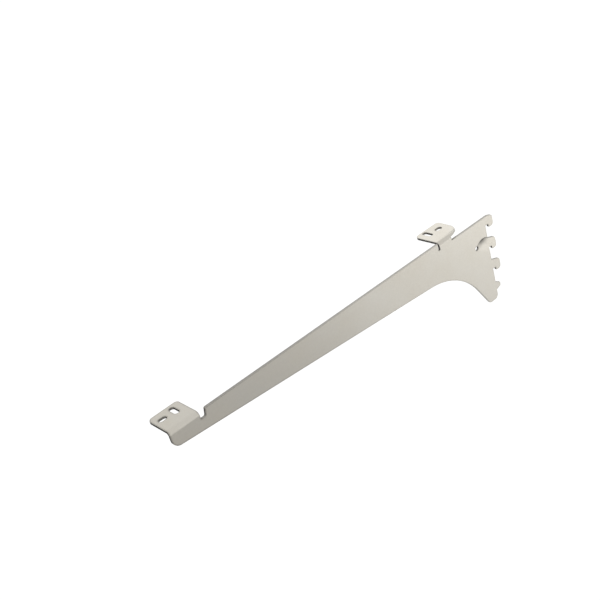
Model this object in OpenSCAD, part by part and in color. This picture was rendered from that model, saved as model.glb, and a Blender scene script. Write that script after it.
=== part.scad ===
// Slotted shelf bracket for the right end of a shelf.
// One punched and folded sheet: a tapered blade that stands on edge, hooks along its
// wall edge, and two flanges that turn off its top edge for the shelf's screws.
// X runs out from the wall edge, Z is up, and the shelf lies at Z = 0.
// The blade's outer face is Y = 0, and the flanges turn towards -Y.

/* [Sheet] */
// Thickness of the sheet
sheet_t = 2.3; // [1.6:0.1:3]
// Inside radius of both folds
fold_r = 2; // [1.5:0.1:3.2]

/* [Blade] */
// Length from the wall edge to the front end
blade_len = 398; // [300:1:500]
// Depth of the blade at its front end
front_depth = 16.7; // [14:0.1:22]
// Depth at which the lower edge would reach the wall edge without the flare
root_depth = 45; // [38:0.5:48]
// Radius of the hollow flare between the lower edge and the heel
flare_r = 78; // [50:1:90]
// Lean of the heel's front from upright
heel_lean = 30.6; // [28:0.1:38]
// Width of the heel at its bottom, before its corners are rounded
heel_w = 13.2; // [12:0.1:20]
// Depth of the heel's bottom below the top of the nib
heel_drop = 18.8; // [17.5:0.1:24]
// Radius of the heel's two round corners
heel_r = 5; // [3:0.1:6.5]
// Radius of the lower corner at the front end
front_r = 8; // [3:0.1:9.5]
// How far the edge behind the rear flange lies below the shelf
rear_step = 5.8; // [4.8:0.1:7]

/* [Hooks] */
// Pitch of the upright's slots
pitch = 25; // [24.5:0.1:26]
// Number of hooks, the nib not counted
hook_count = 3; // [3:1:4]
// How far a hook reaches behind the wall edge
hook_out = 11.6; // [10:0.1:13]
// Depth of a hook's neck at the wall edge
neck_h = 11; // [10:0.1:12]
// How far a hook's lip hangs below its neck
lip_drop = 3.8; // [3:0.1:4.5]
// Gap between a lip and the wall edge
lip_gap = 4; // [3:0.1:4.5]
// Fall of a hook's sloping top
hook_fall = 3.8; // [2:0.1:4.5]
// Radius of a hook's outer corners
hook_r = 3.6; // [2:0.1:3.8]
// How far the nib reaches behind the wall edge
nib_out = 6.5; // [5:0.1:8]
// Depth of the nib at the wall edge
nib_h = 9.4; // [8:0.1:11]
// Radius of the nib's nose
nib_r = 2.2; // [1:0.1:2.4]

/* [Second hook] */
// Radius of the slit that frees the second hook
slit_r = 12; // [11.5:0.1:12.5]
// Width of the slit
slit_w = 0.4; // [0.2:0.1:1]
// Radius of the relief hole at the slit's end
relief_r = 2.3; // [2:0.1:2.6]
// Angle through which the freed hook is set back
set_back = 4; // [1:0.5:5]

/* [Flanges] */
// Width of each flange, from the blade's outer face
flange_w = 32.2; // [31.6:0.1:38]
// Length of the front flange
front_len = 31.4; // [30:0.1:36]
// Length of the rear flange
rear_len = 33.6; // [32:0.1:36]
// Distance from the wall edge to the rear flange's front side
rear_at = 67.2; // [66:0.1:90]
// Length of the rear flange's neck
rear_neck = 17.7; // [16:0.1:19]
// How far round the fold the rear flange's inner corner ends, from the flange
lobe_turn = 58; // [40:1:70]
// Radius of the outer corners that face the wall
back_r = 3.4; // [2:0.1:5]
// Radius of the outer corners that face the front
nose_r = 5.2; // [3:0.1:6]
// Depth of the notches beside the two folds
notch_depth = 7.5; // [6:0.1:9]
// Width of the notch behind the front flange
front_notch = 6.4; // [5:0.1:10]
// How much narrower that notch is at its foot
front_notch_lean = 1.6; // [0:0.1:2]
// Width of the notch in front of the rear flange
rear_notch = 2; // [1.6:0.1:4]

/* [Screw slots] */
// Width of every slot
slot_w = 5; // [4:0.1:5.5]
// Length of the slots across the flange
long_slot = 12; // [9:0.1:14]
// Length of the slots along the blade
short_slot = 8; // [6:0.1:8.5]
// Distance from the blade's outer face to the middle of the long slots
slot_in = 22.2; // [20:0.1:23]
// How much nearer to the blade the short slots lie
short_shift = 1; // [0:0.1:2]
// How much farther from the blade the rear flange's long slot lies
rear_shift = 1.8; // [0:0.1:2]
// Distance from a flange's side that faces the blade's middle to its long slot
slot_edge = 10.2; // [9:0.1:12]
// Distance between a flange's two slots
slot_gap = 12.8; // [12:0.1:14]

/* [Hidden] */
// How far a cutter or a neck runs on past the face that it meets
past = 1;
// Farthest that a straight step of an outline's arc lies inside the arc
chord_gap = 0.02;
// Corner radii of the front notch, of the rear notch's foot and inside a hook's lip
notch_r = 1.5;
notch_foot_r = 0.6;
lip_r = 1.6;
// How far a hook's top lies above its slot's place, and how far the nib's top slopes down
hook_rise = 1.5;
nib_fall = 3.4;
$fn = 96;

// Outside radius of the folds
bend_r = fold_r + sheet_t;

// The heel's bottom, and the corner at which its front would meet the lower edge
heel_depth = rear_step + pitch * hook_count + heel_drop;
taper = (root_depth - front_depth) / blade_len;
flare_x = (heel_w + (heel_depth - root_depth) * tan(heel_lean)) / (1 - taper * tan(heel_lean));
flare_z = taper * flare_x - root_depth;

// The hooks hang from the slots, one pitch apart
lip_h = neck_h + lip_drop;
function hook_z(i) = hook_rise - rear_step - pitch * i;

// The second hook's slit runs on from the hook's top, round to a relief hole, and the hook
// turns back about a line from that hole to the wall edge
slit_x = 7.5;
slit_z = hook_z(1) - sqrt(pow(slit_r - slit_w / 2, 2) - pow(slit_x, 2));
relief_angle = 31;
relief_at = [slit_x, slit_z] + slit_r * [cos(relief_angle), sin(relief_angle)];
hinge_top = relief_at - [0, relief_r];
hinge_foot = [0, hook_z(1) - lip_h - lip_drop / 2];
hinge_run = hinge_foot - hinge_top;
hinge_lap = 0.5;
slit_from = 90 + asin(slit_x / slit_r);

// The flanges' places along the blade
rear_back = rear_at - rear_len;
rear_neck_x = rear_at - rear_neck;
front_back = blade_len - front_len;

// The rear flange's round inner corner ends at its neck, part of the way round the fold. In
// the sheet before folding it is one circle, so along the fold it is cut in short straight
// steps, each square to the sheet and between two points of that circle
lobe_steps = 12;
lobe_r = rear_len - rear_neck;
lobe_run = bend_r * lobe_turn * PI / 180;
function lobe_x(turn) =
    rear_neck_x - sqrt(pow(lobe_r, 2) - pow(lobe_r - lobe_run * (1 - turn / lobe_turn), 2));

// A corner [x, y, r] of an outline becomes points on an arc between its two tangents
function unit(v) = v / norm(v);
function dir(a) = [cos(a), sin(a)];
function bearing(v) = atan2(v[1], v[0]);
function flat(q) = [q[0], q[1]];
function arc(centre, r, from, sweep) =
    let(steps = ceil(abs(sweep) / acos(1 - chord_gap / r) / 2))
    [for (i = [0:steps]) centre + r * dir(from + sweep * i / steps)];
function corner(p, q, s) =
    let(
        u = unit(flat(p) - flat(q)),
        v = unit(flat(s) - flat(q)),
        half = acos(u * v) / 2,
        centre = flat(q) + unit(u + v) * q[2] / sin(half),
        from = bearing(flat(q) + u * q[2] / tan(half) - centre),
        to = bearing(flat(q) + v * q[2] / tan(half) - centre),
        sweep = (to - from + 540) % 360 - 180
    )
    arc(centre, q[2], from, sweep);
function rounded(pts) = [
    for (i = [0:len(pts) - 1])
        each pts[i][2] == 0
            ? [flat(pts[i])]
            : corner(pts[(i + len(pts) - 1) % len(pts)], pts[i], pts[(i + 1) % len(pts)])
];

// The tapered blade without its hooks, in X and Z
module blade_body() {
    polygon(rounded([
        [0, -rear_step, 0],
        [rear_neck_x, -rear_step, 0],
        [rear_neck_x, -bend_r, 0],
        [rear_at, -bend_r, 0],
        [rear_at, -notch_depth, notch_foot_r],
        [rear_at + rear_notch, -notch_depth, notch_foot_r],
        [rear_at + rear_notch, 0, 0],
        [front_back - front_notch, 0, notch_r],
        [front_back - front_notch + front_notch_lean, -notch_depth, notch_r],
        [front_back, -notch_depth, 0],
        [front_back, -bend_r, 0],
        [blade_len, -bend_r, 0],
        [blade_len, -front_depth, front_r],
        [flare_x, flare_z, flare_r],
        [heel_w, -heel_depth, heel_r],
        [0, -heel_depth, heel_r]
    ]));
}

// A hook: a neck whose top falls away from the wall edge, and a lip that hangs behind the upright
module hook() {
    polygon(rounded([
        [past, 0, 0],
        [0, 0, 0],
        [-hook_out, -hook_fall, hook_r],
        [-hook_out, -lip_h, hook_r],
        [-lip_gap, -lip_h, lip_r],
        [-lip_gap, -neck_h, lip_r / 2],
        [past, -neck_h, 0]
    ]));
}

// The top hook carries on the blade's rear edge, which trims it level
module top_hook() {
    intersection() {
        hook();
        translate([-hook_out, -lip_h])
            square([hook_out + past, lip_h - rear_step - hook_z(0)]);
    }
}

// The nib: a blunt nose that fills the slot below the last hook
module nib() {
    polygon(rounded([
        [past, 0, 0],
        [0, 0, 0],
        [-nib_out, -nib_fall, nib_r],
        [-nib_out, nib_fall / 2 - nib_h, nib_r],
        [0, -nib_h, 0],
        [past, -nib_h, 0]
    ]));
}

// The whole outline that the punch cuts, in X and Z
module outline() {
    blade_body();
    for (i = [1:hook_count - 1])
        translate([0, hook_z(i)])
            hook();
    translate([0, hook_z(0)])
        top_hook();
    translate([0, -rear_step - pitch * hook_count])
        nib();
}

// The slit over the second hook, a round-ended arc from the wall edge to its relief hole
module slit() {
    intersection() {
        translate([slit_x, slit_z])
            difference() {
                circle(r = slit_r + slit_w / 2);
                circle(r = slit_r - slit_w / 2);
            }
        polygon([
            [slit_x, slit_z],
            [slit_x, slit_z] + 2 * slit_r * dir(relief_angle),
            [0, slit_z + 2 * slit_r],
            [0, slit_z]
        ]);
    }
    translate(relief_at)
        circle(r = relief_r);
}

// Where the second hook's flap lies in the outline: the hook and its root, down to a line just
// past the hinge line
module flap_zone(beyond) {
    side = beyond * unit([-hinge_run[1], hinge_run[0]]);
    polygon(concat(
        [hinge_top + side, hinge_foot + side, [-hook_out - past, hinge_foot[1] + side[1]]],
        [[-hook_out - past, slit_z + slit_r], [0, slit_z + slit_r]],
        arc([slit_x, slit_z], slit_r, slit_from, relief_angle - slit_from)
    ));
}

// Stands an outline in X and Z up, from a little in front of the outer face to a depth behind it
module upright(front, depth) {
    rotate([90, 0, 0])
        translate([0, 0, -front])
            linear_extrude(front + depth)
                children();
}

// A sheet bent along the hinge line: flat on the blade's side, turned back on the hook's
module bent_sheet() {
    reach = 2 * slit_r + hook_out;
    translate([hinge_foot[0], 0, hinge_foot[1]])
        rotate([0, atan2(hinge_run[0], hinge_run[1]), 0])
            linear_extrude(2 * reach, center = true)
                polygon([
                    [-reach, 0],
                    [0, 0],
                    reach * dir(-set_back),
                    reach * dir(-set_back) + sheet_t * dir(-90 - set_back),
                    [-sheet_t * tan(set_back / 2), -sheet_t],
                    [-reach, -sheet_t]
                ]);
}

// The blade, with the second hook turned back about its hinge line
module blade() {
    upright(0, sheet_t)
        difference() {
            outline();
            slit();
            flap_zone(hinge_lap);
        }
    intersection() {
        bent_sheet();
        upright(past, slit_r)
            difference() {
                intersection() {
                    outline();
                    flap_zone(2 * hinge_lap);
                }
                slit();
            }
    }
}

// A flange's flat plate, its top level with the blade's top edge, up to where the fold begins
module plate(back, front, inner_r, inner_y) {
    translate([0, 0, -sheet_t])
        linear_extrude(sheet_t)
            intersection() {
                polygon(rounded([
                    [back, -flange_w, back_r],
                    [front, -flange_w, nose_r],
                    [front, inner_y, 0],
                    [back, inner_y, inner_r]
                ]));
                translate([back, -flange_w])
                    square([front - back, flange_w - bend_r]);
            }
}

// A fold: a quarter ring whose axis runs along X, from the blade up to the flange
module fold(back, front) {
    translate([0, -bend_r, -bend_r])
        rotate([0, 90, 0])
            rotate([0, 0, 90])
                rotate_extrude(angle = 90)
                    translate([fold_r, back])
                        square([sheet_t, front - back]);
}

// One step of the cut along the rear fold, between two angles counted from the flange
module lobe_step(from, to) {
    start = lobe_x(from);
    end = lobe_x(to);
    reach = 3 * bend_r * sin((to - from) / 2);
    translate([0, -bend_r, -bend_r])
        rotate([-(from + to) / 2, 0, 0])
            linear_extrude(bend_r + past)
                polygon([
                    [rear_back - past, -reach],
                    [2 * start - end, -reach],
                    [2 * end - start, reach],
                    [rear_back - past, reach]
                ]);
}

// All that the rear fold lacks beside its neck
module lobe_cut() {
    intersection() {
        union() {
            for (i = [0:lobe_steps - 1])
                lobe_step(i * lobe_turn / lobe_steps, (i + 1) * lobe_turn / lobe_steps);
            translate([rear_back - past, -bend_r, -bend_r])
                rotate([-lobe_turn * (1 + 1 / lobe_steps / 2), 0, 0])
                    cube([rear_neck_x - rear_back + past, bend_r + past, bend_r + past]);
        }
        translate([rear_back - past, -2 * bend_r, -2 * bend_r])
            cube([rear_neck_x - rear_back + past, 4 * bend_r, 4 * bend_r]);
    }
}

// A screw slot through a flange, its long way turned by an angle from X
module screw_slot(x, y, length, angle) {
    half = (length - slot_w) / 2;
    translate([x, y, -sheet_t - past])
        rotate([0, 0, angle]) {
            for (side = [-1, 1])
                translate([side * half, 0, 0])
                    cylinder(r = slot_w / 2, h = sheet_t + 2 * past);
            translate([-half, -slot_w / 2, 0])
                cube([2 * half, slot_w, sheet_t + 2 * past]);
        }
}

module rear_flange() {
    plate(rear_back, rear_at, lobe_r, lobe_run - bend_r);
    difference() {
        fold(rear_back, rear_at);
        lobe_cut();
    }
}

module front_flange() {
    plate(front_back, blade_len, 0, 0);
    fold(front_back, blade_len);
}

module bracket() {
    color("#c4beb2")
        difference() {
            union() {
                blade();
                rear_flange();
                front_flange();
            }
            screw_slot(rear_at - slot_edge, -slot_in - rear_shift, long_slot, 90);
            screw_slot(front_back + slot_edge, -slot_in, long_slot, 90);
            screw_slot(rear_at - slot_edge - slot_gap, short_shift - slot_in, short_slot, 0);
            screw_slot(front_back + slot_edge + slot_gap, short_shift - slot_in, short_slot, 0);
        }
}

bracket();
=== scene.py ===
import math

import bmesh
import bpy
import numpy as np
from mathutils import Matrix, Vector


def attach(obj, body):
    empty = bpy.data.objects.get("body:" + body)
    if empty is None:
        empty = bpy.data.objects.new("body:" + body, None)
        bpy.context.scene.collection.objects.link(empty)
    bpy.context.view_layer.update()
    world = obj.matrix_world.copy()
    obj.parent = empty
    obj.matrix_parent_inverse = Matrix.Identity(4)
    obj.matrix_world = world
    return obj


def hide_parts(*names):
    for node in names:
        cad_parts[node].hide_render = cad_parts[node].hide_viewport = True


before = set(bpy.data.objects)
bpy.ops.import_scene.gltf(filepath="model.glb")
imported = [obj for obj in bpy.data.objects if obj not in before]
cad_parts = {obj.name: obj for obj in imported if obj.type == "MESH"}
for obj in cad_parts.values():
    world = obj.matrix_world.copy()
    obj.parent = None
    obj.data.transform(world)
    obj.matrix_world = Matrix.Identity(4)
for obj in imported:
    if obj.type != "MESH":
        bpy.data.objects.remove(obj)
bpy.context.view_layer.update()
scene = bpy.context.scene
scene.view_settings.view_transform = "Standard"
print("bracket loaded")

# Lengths are in metres. X runs out from the wall edge, Z is up, and the blade's outer face is Y = 0.

foldedSheet = {
    "thickness": 0.0023,
    "foldAxis": -0.0043,       # Y and Z of the line that both folds turn round
    "rearFold": (0.0336, 0.0672),
    "frontFold": (0.3666, 0.3980),
    "edgeRound": 0.00042,      # die roll on the outer side, where the punch went in
    "backRound": 0.45,         # the other side's round, as a share of it
    "roundSteps": 3,
    "cutEdgeFrom": 35.0,       # degrees; shallower edges belong to arcs and folds
    "outerFacing": 0.9,        # how squarely an outer face looks out through the sheet
    "cutFaceGain": 1.4,        # how soon a rounded edge takes the cut face's finish
    "flatWithin": 0.4,         # degrees; triangles this close to one plane become one face
    "weldWithin": 0.000002,
    "hinge": ((0.0, -0.0460), (0.017786, -0.034529)),  # X and Z, under the second hook
    "hingeWithin": 0.00015,
    "hingeShortest": 0.004,
    "keptCrisp": (             # low and high corners of places too tight for a round
        ((0.0365, -0.0050, -0.0050), (0.0500, 0.0001, 0.0001)),
        ((0.0165, -0.0040, -0.0365), (0.0190, 0.0001, -0.0335)),
    ),
}


def readAll(items, name, width=3, kind=np.float32):
    # one property of all items as an array, with a row for each item
    values = np.empty(len(items) * width, dtype=kind)
    items.foreach_get(name, values)
    return values.reshape(-1, width).astype(float if kind is np.float32 else kind)


def acrossSheet(points):
    # the way through the sheet at each point: Y on the blade, Z on a flange, and straight out from
    # the fold's axis in between; the depth is 0 on the outer face and 1 on the inner one
    axis = foldedSheet["foldAxis"]
    x, y, z = points.T
    rear, front = foldedSheet["rearFold"], foldedSheet["frontFold"]
    beside = ((x > rear[0]) & (x < rear[1])) | ((x > front[0]) & (x < front[1]))
    out = np.where(beside, np.maximum(y - axis, 0.0), y - axis)
    up = np.where(beside, np.maximum(z - axis, 0.0), 0.0)
    reach = np.hypot(out, up)
    way = np.stack([np.zeros_like(x), out, up], axis=1) / np.maximum(reach, 1e-9)[:, None]
    depth = (-axis - reach) / foldedSheet["thickness"]
    return way, depth.clip(0.0, 1.0)


def weldedMesh(node, values):
    # the node's loose triangles joined at their corners, and those in one plane made one face
    mesh = node.data.copy()
    build = bmesh.new()
    build.from_mesh(mesh)
    bmesh.ops.remove_doubles(build, verts=build.verts, dist=values["weldWithin"])
    bmesh.ops.dissolve_limit(
        build,
        angle_limit=math.radians(values["flatWithin"]),
        use_dissolve_boundaries=False,
        verts=build.verts,
        edges=build.edges,
    )
    build.to_mesh(mesh)
    build.free()
    return mesh


def markEdges(mesh, values):
    # a cut edge is one whose two faces turn by more than cutEdgeFrom; it takes the whole round
    # beside the outer face, the back's share elsewhere and none where it is kept crisp
    ends = readAll(mesh.edges, "vertices", 2, np.int32)
    corners = readAll(mesh.vertices, "co")[ends]
    faceSizes = readAll(mesh.polygons, "loop_total", 1, np.int32)[:, 0]
    edgeOf = readAll(mesh.loops, "edge_index", 1, np.int32)[:, 0]
    faces = np.repeat(np.arange(len(mesh.polygons)), faceSizes)[np.argsort(edgeOf, kind="stable")]
    uses = np.bincount(edgeOf, minlength=len(mesh.edges))
    first = np.minimum(np.cumsum(uses) - uses, len(faces) - 2)
    sides = readAll(mesh.polygons, "normal")[faces[np.stack([first, first + 1], axis=1)]]
    turn = np.degrees(np.arccos((sides[:, 0] * sides[:, 1]).sum(axis=1).clip(-1.0, 1.0)))
    cut = (turn > values["cutEdgeFrom"]) & (uses == 2)

    middle = corners.mean(axis=1)
    way, _ = acrossSheet(middle)
    outer = np.einsum("ej,efj->ef", way, sides).max(axis=1) > values["outerFacing"]
    crisp = np.zeros(len(middle), dtype=bool)
    for low, high in values["keptCrisp"]:
        crisp |= ((middle >= low) & (middle <= high)).all(axis=1)

    # an edge on the hinge: both its ends lie on the upright plane through the hinge's two points
    (x0, z0), (x1, z1) = values["hinge"]
    x, z = corners[:, :, 0], corners[:, :, 2]
    away = np.abs((x - x0) * (z1 - z0) - (z - z0) * (x1 - x0)) / math.hypot(x1 - x0, z1 - z0)
    length = np.linalg.norm(corners[:, 0] - corners[:, 1], axis=1)
    hinge = (away.max(axis=1) < values["hingeWithin"]) & (length > values["hingeShortest"])
    hinge &= z.max(axis=1) < z1 + values["hingeWithin"]

    share = np.where(cut & ~crisp, np.where(outer, 1.0, values["backRound"]), 0.0)
    mesh.attributes.new("bevel_weight_edge", "FLOAT", "EDGE").data.foreach_set(
        "value", share.astype(np.float32))
    if "sharp_edge" in mesh.attributes:
        mesh.attributes.remove(mesh.attributes["sharp_edge"])
    mesh.attributes.new("sharp_edge", "BOOLEAN", "EDGE").data.foreach_set(
        "value", (cut & crisp) | hinge)
    mesh.polygons.foreach_set("use_smooth", np.ones(len(mesh.polygons), dtype=bool))


def roundEdges(mesh, name, values):
    # rounds the marked edges and lets the large flat faces keep their own normals
    draft = bpy.data.objects.new("draft", mesh)
    scene.collection.objects.link(draft)
    soft = draft.modifiers.new("die roll", "BEVEL")
    soft.width = values["edgeRound"]
    soft.segments = values["roundSteps"]
    soft.limit_method = "WEIGHT"
    soft.use_clamp_overlap = False
    level = draft.modifiers.new("flat faces stay flat", "WEIGHTED_NORMAL")
    level.weight = 100
    level.keep_sharp = True
    current = bpy.context.evaluated_depsgraph_get()
    rounded = bpy.data.meshes.new_from_object(
        draft.evaluated_get(current), preserve_all_data_layers=True, depsgraph=current)
    bpy.data.objects.remove(draft)
    rounded.name = name
    piece = bpy.data.objects.new(name, rounded)
    scene.collection.objects.link(piece)
    return piece


def markCutFaces(mesh, values):
    # cutFace grows from 0 where a face looks through the sheet to 1 where it looks along it
    way, _ = acrossSheet(readAll(mesh.polygons, "center"))
    along = 1.0 - np.abs((way * readAll(mesh.polygons, "normal")).sum(axis=1))
    cut = np.clip(values["cutFaceGain"] * along, 0.0, 1.0).astype(np.float32)
    mesh.attributes.new("cutFace", "FLOAT", "FACE").data.foreach_set("value", cut)
    _, depth = acrossSheet(readAll(mesh.vertices, "co"))
    mesh.attributes.new("depth", "FLOAT", "POINT").data.foreach_set(
        "value", depth.astype(np.float32))


def join(tree, value, socket):
    # a socket is linked, a plain value is set
    if isinstance(value, bpy.types.NodeSocket):
        tree.links.new(value, socket)
    else:
        socket.default_value = value


def addNode(tree, kind, inputs=(), **settings):
    # one node, its settings, and what goes into it by the input's name or place
    made = tree.nodes.new(kind)
    for name, value in settings.items():
        setattr(made, name, value)
    for place, value in dict(inputs).items():
        join(tree, value, made.inputs[place])
    return made


def combine(tree, operation, first, second=0.0):
    # one sum of two numbers
    return addNode(tree, "ShaderNodeMath", {0: first, 1: second}, operation=operation).outputs[0]


def span(tree, value, low, high, toLow=0.0, toHigh=1.0):
    # the value carried from low...high to toLow...toHigh, and held at both ends
    return addNode(tree, "ShaderNodeMapRange", {
        "Value": value, "From Min": low, "From Max": high, "To Min": toLow, "To Max": toHigh,
    }).outputs["Result"]


def blend(tree, share, first, second):
    # the first colour where the share is 0, the second where it is 1
    return addNode(
        tree, "ShaderNodeMix", {0: share, 6: first, 7: second}, data_type="RGBA").outputs[2]


def dimmed(tree, colour, level):
    # the colour times the level
    return addNode(
        tree, "ShaderNodeVectorMath", {0: colour, "Scale": level}, operation="SCALE").outputs[0]


def noise(tree, place, scale, detail, roughness):
    # cloudy noise from 0 to 1, with so many cells to a metre
    return addNode(tree, "ShaderNodeTexNoise", {
        "Vector": place, "Scale": scale, "Detail": detail, "Roughness": roughness,
    }).outputs["Fac"]


satinNickel = {
    "plating": (0.700, 0.674, 0.612, 1.0),
    "thinPlating": (0.682, 0.646, 0.570, 1.0),
    "roughness": (0.33, 0.43),
    "blotch": (14.0, 4.0, 0.6),            # scale, detail and roughness of each noise
    "blotchSpan": (0.35, 0.70),
    "grain": (420.0, 5.0, 0.65),
    "grainSpan": (0.30, 0.70),
    "grainShade": (0.972, 1.018),
    "rollLines": (160.0, 2600.0, 2600.0),  # fine lines left by rolling, along the blade
    "lines": (1.0, 3.0, 0.6),
    "roughnessSpan": (0.35, 0.65),
    "bumpStrength": 0.06,
    "bumpDistance": 0.00004,
    "cut": (0.385, 0.371, 0.346, 1.0),     # the dull, broken part of a sheared edge
    "burnished": (0.480, 0.464, 0.432, 1.0),
    "burnishedDepth": (0.45, 0.62),
    "ragged": 0.3,                         # how far the grain moves the burnished band's end
    "cutRoughness": 0.42,
    # a painted dark line of shade and reflection along the edges, stronger towards the front
    "edgeShadeTone": (0.200, 0.190, 0.170, 1.0),
    "edgeReach": 0.0022,
    "edgeSpan": (0.9995, 0.965),
    "edgeBreak": (0.40, 0.62, 0.60, 1.0),
    "edgeShadeShare": (0.25, 0.80),             # share of the painted edge shade near the wall, and at the front
    "frontwardFrom": (0.10, 0.36),
    # painted shade in corners and creases
    "creviceReach": 0.0035,
    "creviceSpan": (0.35, 0.95),
    "creviceShade": 0.75,
    "slitCentre": (0.0075, 0.0, -0.0384),  # centre of the painted shadow on the second hook's flap, below its slit
    "slitShadowReach": (0.0040, 0.0120),
    "slitAbove": (0.0015, 0.0085),
    "slitMiddle": 0.0010,
    "slitSpread": (0.0090, 0.0018),
    "slitShadowDim": 0.85,
}


def shadowBelowSlit(tree, place, values):
    # painted shadow under the slit's edge: grows with the distance from the slit's centre up to the
    # slit, and fades out downwards and to both sides of the slit's middle
    offset = addNode(tree, "ShaderNodeVectorMath", {0: place, 1: values["slitCentre"]},
                     operation="SUBTRACT").outputs[0]
    offset = addNode(tree, "ShaderNodeSeparateXYZ", {"Vector": offset}).outputs
    squares = combine(tree, "ADD", combine(tree, "MULTIPLY", offset["X"], offset["X"]),
                      combine(tree, "MULTIPLY", offset["Z"], offset["Z"]))
    away = combine(tree, "SQRT", squares)
    slitShadow = span(tree, away, *values["slitShadowReach"])
    slitShadow = combine(tree, "MULTIPLY", slitShadow, combine(tree, "LESS_THAN", away, values["slitShadowReach"][1]))
    slitShadow = combine(tree, "MULTIPLY", slitShadow, span(tree, offset["Z"], *values["slitAbove"]))
    aside = combine(tree, "SUBTRACT", offset["X"], values["slitMiddle"])
    aside = combine(tree, "ABSOLUTE", aside)
    return combine(tree, "MULTIPLY", slitShadow, span(tree, aside, *values["slitSpread"]))


def satinNickelWithPaintedShade(values):
    # plating with slow blotches, fine grain and roll lines, duller and darker on cut faces; painted
    # shade darkens it along the edges, in corners and just below the slit
    finish = bpy.data.materials.new("satin nickel")
    finish.use_nodes = True
    tree = finish.node_tree
    shader = tree.nodes["Principled BSDF"]
    place = addNode(tree, "ShaderNodeTexCoord").outputs["Object"]
    cut = addNode(tree, "ShaderNodeAttribute", attribute_name="cutFace").outputs["Fac"]
    depth = addNode(tree, "ShaderNodeAttribute", attribute_name="depth").outputs["Fac"]
    blotch = noise(tree, place, *values["blotch"])
    grain = noise(tree, place, *values["grain"])
    drawn = addNode(tree, "ShaderNodeMapping", {"Vector": place, "Scale": values["rollLines"]})
    lines = noise(tree, drawn.outputs["Vector"], *values["lines"])

    thin = span(tree, blotch, *values["blotchSpan"])
    plated = blend(tree, thin, values["plating"], values["thinPlating"])
    shade = span(tree, grain, *values["grainSpan"], *values["grainShade"])
    plated = dimmed(tree, plated, shade)
    broken = combine(tree, "ADD", depth, combine(tree, "MULTIPLY", grain, values["ragged"]))
    broken = span(tree, broken, *values["burnishedDepth"])
    sheared = blend(tree, broken, values["burnished"], values["cut"])
    colour = blend(tree, cut, plated, sheared)

    # painted shade and dark reflection along the edges: an edge shows where the rounded normal
    # leaves the face's own; the grain breaks it up
    rounded = addNode(tree, "ShaderNodeBevel", {"Radius": values["edgeReach"]}, samples=6)
    straight = addNode(tree, "ShaderNodeNewGeometry").outputs["Normal"]
    match = addNode(tree, "ShaderNodeVectorMath", {0: rounded.outputs["Normal"], 1: straight},
                    operation="DOT_PRODUCT").outputs["Value"]
    edge = combine(tree, "MULTIPLY", span(tree, match, *values["edgeSpan"]),
                   span(tree, grain, *values["edgeBreak"]))
    along = addNode(tree, "ShaderNodeSeparateXYZ", {"Vector": place}).outputs["X"]
    edge = combine(tree, "MULTIPLY", edge, span(
        tree, along, *values["frontwardFrom"], *values["edgeShadeShare"]))
    colour = blend(tree, edge, colour, values["edgeShadeTone"])

    # painted shade in corners and creases: ambient occlusion darkens the base colour
    cornerShade = addNode(tree, "ShaderNodeAmbientOcclusion", {"Distance": values["creviceReach"]},
                     samples=8, only_local=True).outputs["AO"]
    shade = span(tree, cornerShade, *values["creviceSpan"], 1.0 - values["creviceShade"], 1.0)
    colour = dimmed(tree, colour, shade)
    # painted shadow on the flap just below the slit
    slitShadow = shadowBelowSlit(tree, place, values)
    colour = dimmed(tree, colour, span(tree, slitShadow, 0.0, 1.0, 1.0, 1.0 - values["slitShadowDim"]))
    join(tree, colour, shader.inputs["Base Color"])

    even = combine(tree, "MULTIPLY", combine(tree, "ADD", blotch, lines), 0.5)
    rough = span(tree, even, *values["roughnessSpan"], *values["roughness"])
    rough = span(tree, cut, 0.0, 1.0, rough, values["cutRoughness"])
    join(tree, rough, shader.inputs["Roughness"])
    shader.inputs["Metallic"].default_value = 1.0

    height = combine(tree, "MULTIPLY", combine(tree, "ADD", lines, grain), 0.5)
    bump = addNode(tree, "ShaderNodeBump", {
        "Height": height, "Strength": values["bumpStrength"], "Distance": values["bumpDistance"]})
    join(tree, bump.outputs["Normal"], shader.inputs["Normal"])
    return finish


sheetMesh = weldedMesh(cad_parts["bracket"], foldedSheet)
markEdges(sheetMesh, foldedSheet)
bracketSheet = roundEdges(sheetMesh, "folded_sheet", foldedSheet)
markCutFaces(bracketSheet.data, foldedSheet)
bracketSheet.data.materials.clear()
bracketSheet.data.materials.append(satinNickelWithPaintedShade(satinNickel))
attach(bracketSheet, "root")
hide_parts("bracket")
print("folded sheet made,", len(bracketSheet.data.polygons), "faces")


studio = {
    "eye": (0.6623, 0.6306, 0.4425),
    "right": (-0.7228761, 0.6446335, -0.2487926),
    "down": (0.4870899, 0.2200170, -0.8451840),
    "forward": (-0.4900954, -0.7321477, -0.4730394),
    "lens": 60.0,
    "sensor": 36.0,
    "floorHeight": -0.34,
    "floorReach": 40.0,
    "floorColour": (0.80, 0.80, 0.80, 1.0),
    "floorLift": 0.38,         # brings the floor up to white where it is seen
    "cardRoughness": 0.9,
    "sky": 0.83,
    "lampAt": (-0.60, -0.72, 0.50),
    "lampAim": (0.05, -0.015, 0.0),
    "lampSize": 0.55,
    "lampWatts": 0.52,
    "cardHeight": -0.335,
    "cards": {                 # low and high corners in X and Y, and a grey; seen in metal alone
        "dark_card_out_front": ((0.16, -2.20), (2.40, -0.12), 0.03),
        "grey_card_at_the_front": ((-0.10, 0.02), (2.40, 2.40), 0.50),
        "pale_card_by_the_heel": ((-0.40, 0.02), (-0.10, 2.40), 0.88),
        "white_card_on_the_wall_side": ((-1.60, 0.05), (-0.42, 1.80), 1.30),
    },
}


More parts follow.
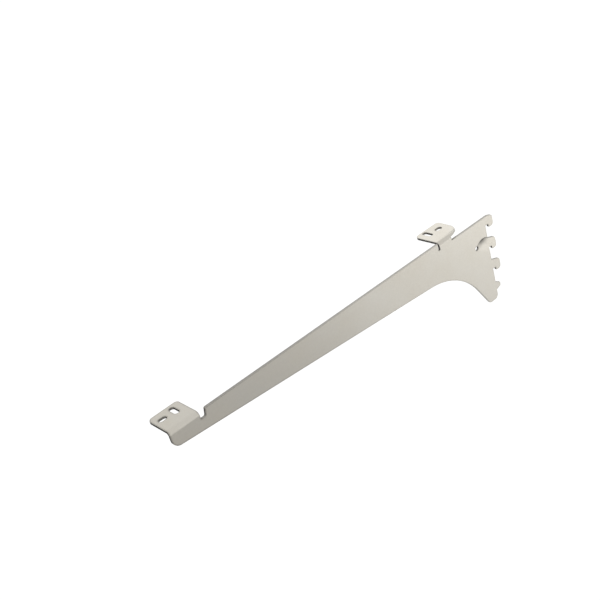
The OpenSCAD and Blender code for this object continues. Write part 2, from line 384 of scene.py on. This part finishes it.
def standCamera(values):
    # the camera's own axes are its right, its up and its backward direction
    lens = bpy.data.cameras.new("camera")
    lens.lens = values["lens"]
    lens.sensor_width = values["sensor"]
    camera = bpy.data.objects.new("camera", lens)
    scene.collection.objects.link(camera)
    axes = np.array([values["right"], values["down"], values["forward"]]) * [[1], [-1], [-1]]
    camera.matrix_world = Matrix.Translation(values["eye"]) @ Matrix(axes.T.tolist()).to_4x4()
    scene.camera = camera


def flatCard(name, low, high, height, paint):
    # a level rectangle between two corners in X and Y
    mesh = bpy.data.meshes.new(name)
    corners = [(low[0], low[1]), (high[0], low[1]), (high[0], high[1]), (low[0], high[1])]
    mesh.from_pydata([(x, y, height) for x, y in corners], [], [(0, 1, 2, 3)])
    mesh.materials.append(paint)
    made = bpy.data.objects.new(name, mesh)
    scene.collection.objects.link(made)
    return made


def cardPaint(name, colour, glow):
    # matt, with a white glow of its own
    paint = bpy.data.materials.new(name)
    paint.use_nodes = True
    shader = paint.node_tree.nodes["Principled BSDF"]
    shader.inputs["Base Color"].default_value = colour
    shader.inputs["Roughness"].default_value = studio["cardRoughness"]
    shader.inputs["Specular IOR Level"].default_value = 0.0
    shader.inputs["Emission Color"].default_value = (1.0, 1.0, 1.0, 1.0)
    shader.inputs["Emission Strength"].default_value = glow
    return paint


def paleFloor(values):
    # the lift counts only where the camera, metal or something clear sees the floor
    paint = cardPaint("pale floor", values["floorColour"], 0.0)
    tree = paint.node_tree
    rays = addNode(tree, "ShaderNodeLightPath").outputs
    seen = combine(tree, "MAXIMUM", rays["Is Camera Ray"], rays["Is Glossy Ray"])
    seen = combine(tree, "MAXIMUM", seen, rays["Is Transmission Ray"])
    lift = combine(tree, "MULTIPLY", seen, values["floorLift"])
    join(tree, lift, tree.nodes["Principled BSDF"].inputs["Emission Strength"])
    reach = values["floorReach"]
    flatCard("floor", (-reach, -reach), (reach, reach), values["floorHeight"], paint)


def paleSky(values):
    # white where it is seen, and the studio's plain level for all light that it gives
    world = bpy.data.worlds.new("pale sky")
    world.use_nodes = True
    scene.world = world
    tree = world.node_tree
    rays = addNode(tree, "ShaderNodeLightPath").outputs
    seen = combine(tree, "MAXIMUM", rays["Is Camera Ray"], rays["Is Transmission Ray"])
    background = tree.nodes["Background"]
    background.inputs["Color"].default_value = (1.0, 1.0, 1.0, 1.0)
    join(tree, span(tree, seen, 0.0, 1.0, values["sky"], 1.0), background.inputs["Strength"])


def hangCards(values):
    # greys at a fixed level just over the floor; no shadow and no light on the floor from them
    for name, (low, high, grey) in values["cards"].items():
        paint = cardPaint(name, (0.0, 0.0, 0.0, 1.0), grey)
        made = flatCard(name, low, high, values["cardHeight"], paint)
        made.visible_camera = False
        made.visible_diffuse = False
        made.visible_shadow = False


def hangLamp(values):
    # a soft square light that brightens what the rear flange reflects
    lamp = bpy.data.lights.new("wall_side_lamp", "AREA")
    lamp.shape = "SQUARE"
    lamp.size = values["lampSize"]
    lamp.energy = values["lampWatts"]
    made = bpy.data.objects.new("wall_side_lamp", lamp)
    scene.collection.objects.link(made)
    way = Vector(values["lampAim"]) - Vector(values["lampAt"])
    turn = way.to_track_quat("-Z", "Y").to_matrix().to_4x4()
    made.matrix_world = Matrix.Translation(values["lampAt"]) @ turn


standCamera(studio)
paleFloor(studio)
paleSky(studio)
hangCards(studio)
hangLamp(studio)
print("studio set")
